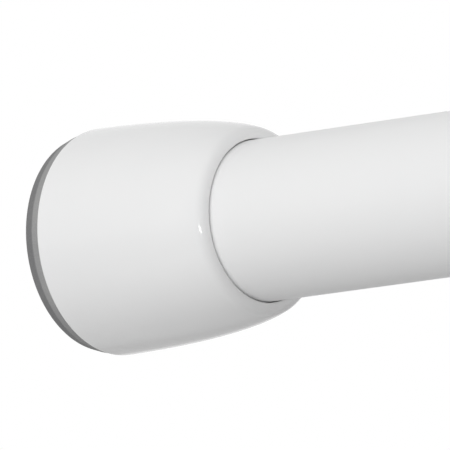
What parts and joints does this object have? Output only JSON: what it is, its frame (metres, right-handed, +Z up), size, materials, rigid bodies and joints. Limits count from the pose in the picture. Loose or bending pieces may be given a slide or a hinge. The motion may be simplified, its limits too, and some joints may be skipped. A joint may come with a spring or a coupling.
{
  "type": "spring tension rod",
  "caption": "Telescoping curtain rod that wedges between two walls: cam lock and compression spring inside, tapered end caps with rubber pads outside.",
  "frame": {"origin": "centre of the outer tube's pad face, where that pad meets the wall", "axes": "+X along the rod from that pad to the inner tube's pad, Z up, Y across"},
  "size_m": [0.66, 0.036, 0.0358],
  "materials": {
    "white_enamel": "satin white enamel on steel tube",
    "white_plastic": "glossy moulded white plastic",
    "grey_rubber": "matt mid-grey rubber",
    "natural_nylon": "natural moulded nylon",
    "black_nylon": "black moulded nylon",
    "zinc_steel": "zinc plated",
    "spring_steel": "oiled spring wire"
  },
  "bodies": {
    "outer_assembly": {"outer_tube": "white_enamel", "outer_end_cap": "white_plastic", "outer_end_pad": "grey_rubber", "mouth_bush": "white_plastic"},
    "lock_carriage": {"guide_ring": "natural_nylon"},
    "plunger_assembly": {"plunger": "natural_nylon", "cam_washer": "zinc_steel", "cam_screw": "zinc_steel", "spring_cup": "natural_nylon", "cup_screw": "zinc_steel"},
    "cam": {"lock_cam": "black_nylon"},
    "inner_assembly": {"inner_tube": "white_enamel", "plunger_bush": "natural_nylon", "bush_pins": "zinc_steel", "compression_spring": "spring_steel", "spring_stop": "natural_nylon", "stop_pin": "zinc_steel", "inner_end_cap": "white_plastic", "inner_end_pad": "grey_rubber"}
  },
  "joints": [
    {"name": "telescope", "type": "slide", "parent": "outer_assembly", "child": "lock_carriage", "axis": [1, 0, 0], "range_m": [-0.025, 0.356]},
    {"name": "twist", "type": "hinge", "parent": "lock_carriage", "child": "plunger_assembly", "pos_m": [0.0613, 0, 0], "axis": [1, 0, 0], "range_deg": [0, 30]},
    {"name": "cam_swing", "type": "hinge", "parent": "plunger_assembly", "child": "cam", "pos_m": [0.04735, 0.001, 0], "axis": [1, 0, 0], "range_deg": [-30, 0]},
    {"name": "spring_stroke", "type": "slide", "parent": "plunger_assembly", "child": "inner_assembly", "axis": [1, 0, 0], "range_m": [-0.025, 0], "stiffness_N_per_m": 2570, "springref_m": 0.02, "deforming": ["compression_spring"]}
  ],
  "couplings": [
    {"joint": "cam_swing", "follows": "twist", "ratio": -1}
  ]
}
